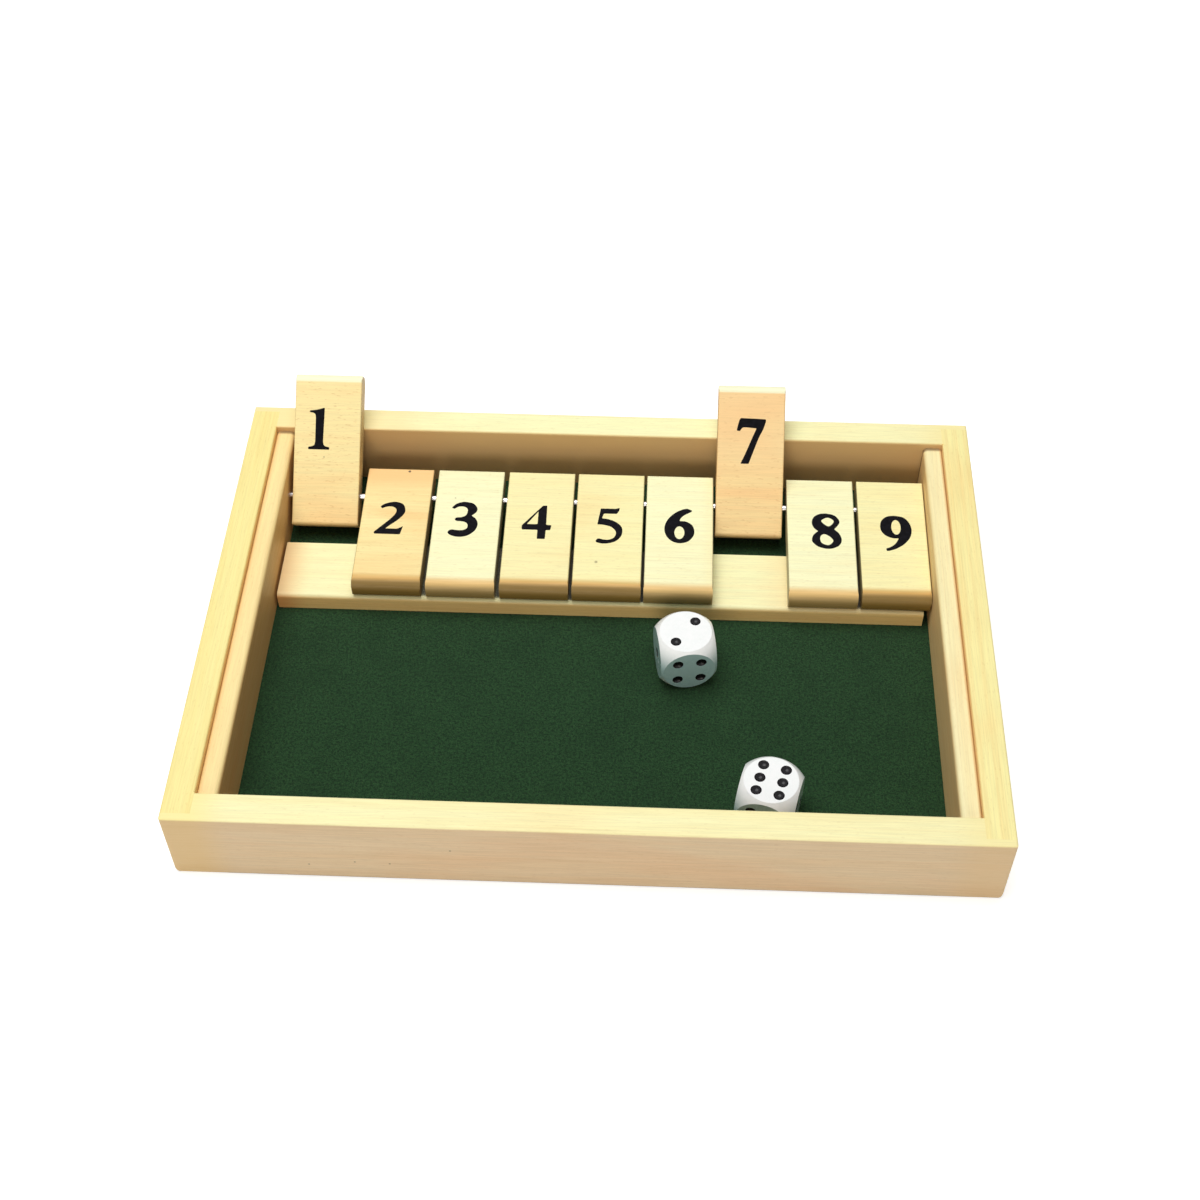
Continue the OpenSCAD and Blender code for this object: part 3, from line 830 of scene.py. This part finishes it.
def enamel_cup(material):
    """One dimple's lining: a shallow closed bowl whose mouth is at the height 0."""
    ball = (pip_radius**2 + pip_depth**2) / (2 * pip_depth)
    steps, around = 6, 24
    span = math.asin(pip_radius / ball)
    under = [(ball * math.sin(a), ball - pip_depth - ball * math.cos(a))
             for a in np.linspace(span, 0, steps + 1)]
    inner = ball - enamel_thick
    over = [(inner * math.sin(a), ball - pip_depth - inner * math.cos(a))
            for a in np.linspace(0, 0.985 * span, steps + 1)]
    points, rings = [], []
    for radius, height in under + over:
        if radius < 1e-9:
            rings.append([len(points)] * around)
            points.append((0, 0, height * mm))
        else:
            rings.append([len(points) + k for k in range(around)])
            turns = [2 * math.pi * k / around for k in range(around)]
            points += [(radius * mm * math.cos(t), radius * mm * math.sin(t), height * mm) for t in turns]
    faces = []
    for lower, upper in zip(rings, rings[1:] + rings[:1]):
        for k in range(around):
            corners = [lower[k], lower[(k + 1) % around], upper[(k + 1) % around], upper[k]]
            face = [c for n, c in enumerate(corners) if c not in corners[:n]]
            if len(face) > 2:
                faces.append(face)
    return new_piece("enamel_cup", points, faces, material)


def pips_tree():
    """One cup on every point, turned so that its mouth faces the way the point says."""
    tree = bpy.data.node_groups.new("pips", "GeometryNodeTree")
    face = tree.interface
    face.new_socket("Geometry", in_out="INPUT", socket_type="NodeSocketGeometry")
    face.new_socket("Cup", in_out="INPUT", socket_type="NodeSocketObject")
    face.new_socket("Enamel", in_out="INPUT", socket_type="NodeSocketMaterial")
    face.new_socket("Geometry", in_out="OUTPUT", socket_type="NodeSocketGeometry")
    given = add(tree, "NodeGroupInput", {}).outputs
    cup = add(tree, "GeometryNodeObjectInfo", {"Object": given["Cup"]})
    facing = add(tree, "GeometryNodeInputNamedAttribute", {"Name": "facing"}, data_type="FLOAT_VECTOR")
    turn = add(tree, "FunctionNodeAlignRotationToVector", {"Vector": facing.outputs[0]}, axis="Z")
    placed = add(tree, "GeometryNodeInstanceOnPoints",
                 {"Points": given["Geometry"], "Instance": cup.outputs["Geometry"],
                  "Rotation": turn.outputs[0]})
    whole = add(tree, "GeometryNodeRealizeInstances", {"Geometry": placed.outputs[0]})
    finished = add(tree, "GeometryNodeSetMaterial",
                   {"Geometry": whole.outputs[0], "Material": given["Enamel"]})
    add(tree, "NodeGroupOutput", {"Geometry": finished.outputs[0]})
    return tree


enamel = black_enamel()
cup = enamel_cup(enamel)
pips_maker = pips_tree()
quarter = math.pi / 2
for die, look in die_faces.items():
    low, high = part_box(die)
    half = (high.z - low.z) / 2
    stands = Matrix.Translation((low + high) / 2) @ Matrix.Rotation(math.radians(look["turn"]), 4, "Z")
    front_turn = Matrix.Rotation(math.radians(look["front_turn"]), 4, "Z")
    sides = [
        (look["top"], Matrix.Identity(4)),
        (7 - look["top"], Matrix.Rotation(2 * quarter, 4, "X")),
        (look["front"], Matrix.Rotation(quarter, 4, "X") @ front_turn),
        (7 - look["front"], Matrix.Rotation(-quarter, 4, "X")),
        (look["left"], Matrix.Rotation(-quarter, 4, "Y")),
        (7 - look["left"], Matrix.Rotation(quarter, 4, "Y")),
    ]
    spots, ways = [], []
    for count, side in sides:
        whole_turn = stands @ side
        for x, y in pip_spots(count):
            spots.append(whole_turn @ Vector((x * mm, y * mm, half)))
            ways.append(whole_turn.to_3x3() @ Vector((0, 0, 1)))
    pips = new_piece(f"{die}_pips", spots, [], enamel)
    facing = pips.data.attributes.new("facing", "FLOAT_VECTOR", "POINT")
    facing.data.foreach_set("vector", np.array(ways, np.float32).ravel())
    settle(pips, pips_maker, {"Cup": cup, "Enamel": enamel})
    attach(pips, die)
bpy.data.objects.remove(cup)


# The tray lies on a plain white table under soft light: a large lamp above it, a weak one in front,
# and an even sky. The table and the sky are white to the eye, the lens and gloss.
table_half = 3.0
table_white = srgb(226, 226, 226)
glow_near, glow_far = 0.6, 1.0
glow_grows = (0.3, 1.2)
sky_light = 0.22


def seen_rays(tree):
    """One for the rays of the lens, of gloss and of glass, and none for the light on the tray."""
    rays = add(tree, "ShaderNodeLightPath", {}).outputs
    seen = sum_up(tree, "MAXIMUM", rays["Is Camera Ray"], rays["Is Glossy Ray"])
    return sum_up(tree, "MAXIMUM", seen, rays["Is Transmission Ray"])


def table_surface():
    """Matt white that looks brighter to the camera, and more so far away from the lamps. The tray's
    shadow is left on it."""
    material, tree, surface = new_material("table_white")
    surface.inputs["Base Color"].default_value = table_white
    surface.inputs["Roughness"].default_value = 0.9
    surface.inputs["Specular IOR Level"].default_value = 0.0
    where = add(tree, "ShaderNodeTexCoord", {}).outputs["Object"]
    away = add(tree, "ShaderNodeVectorMath", {0: where}, operation="LENGTH").outputs[1]
    strength = between(tree, away, *glow_grows, glow_near, glow_far)
    glow = add(tree, "ShaderNodeEmission", {"Strength": sum_up(tree, "MULTIPLY", seen_rays(tree), strength)})
    both = add(tree, "ShaderNodeAddShader", {0: surface.outputs[0], 1: glow.outputs[0]})
    tree.links.new(both.outputs[0], tree.nodes["Material Output"].inputs[0])
    return material


corners = [(-table_half, -table_half), (table_half, -table_half), (table_half, table_half),
           (-table_half, table_half)]
table = new_piece("table", [(x, y, 0) for x, y in corners], [(0, 1, 2, 3)], table_surface())
table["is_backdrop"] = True

sky = bpy.data.worlds.new("sky")
sky.use_nodes = True
bpy.context.scene.world = sky
sky_tree = sky.node_tree
sky_strength = sum_up(sky_tree, "MULTIPLY_ADD", seen_rays(sky_tree), 1 - sky_light, sky_light)
sky_tree.links.new(sky_strength, sky_tree.nodes["Background"].inputs["Strength"])
sky_tree.nodes["Background"].inputs["Color"].default_value = (1, 1, 1, 1)


def softbox(name, place, aim, size, power, colour=(1, 1, 1)):
    """A square lamp that faces the aim."""
    lamp = bpy.data.lights.new(name, "AREA")
    lamp.size = size
    lamp.energy = power
    lamp.color = colour
    stand = bpy.data.objects.new(name, lamp)
    stand.location = place
    stand.rotation_euler = (Vector(aim) - Vector(place)).to_track_quat("-Z", "Y").to_euler()
    bpy.context.collection.objects.link(stand)


softbox("lamp_above", place=(-0.12, 0.10, 0.9), aim=(0, 0, 0), size=0.7, power=6.9)
softbox("lamp_in_front", place=(-0.10, -1.04, 0.30), aim=(0, 0, 0), size=0.5, power=3.2,
        colour=(1.0, 0.93, 0.84))

bpy.context.scene.view_settings.view_transform = "Standard"


# The dressed tray's box, as its lowest and highest corner in metres, like the imported one's above.
# The dressed tray must be no larger than the imported one.
low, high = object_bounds()
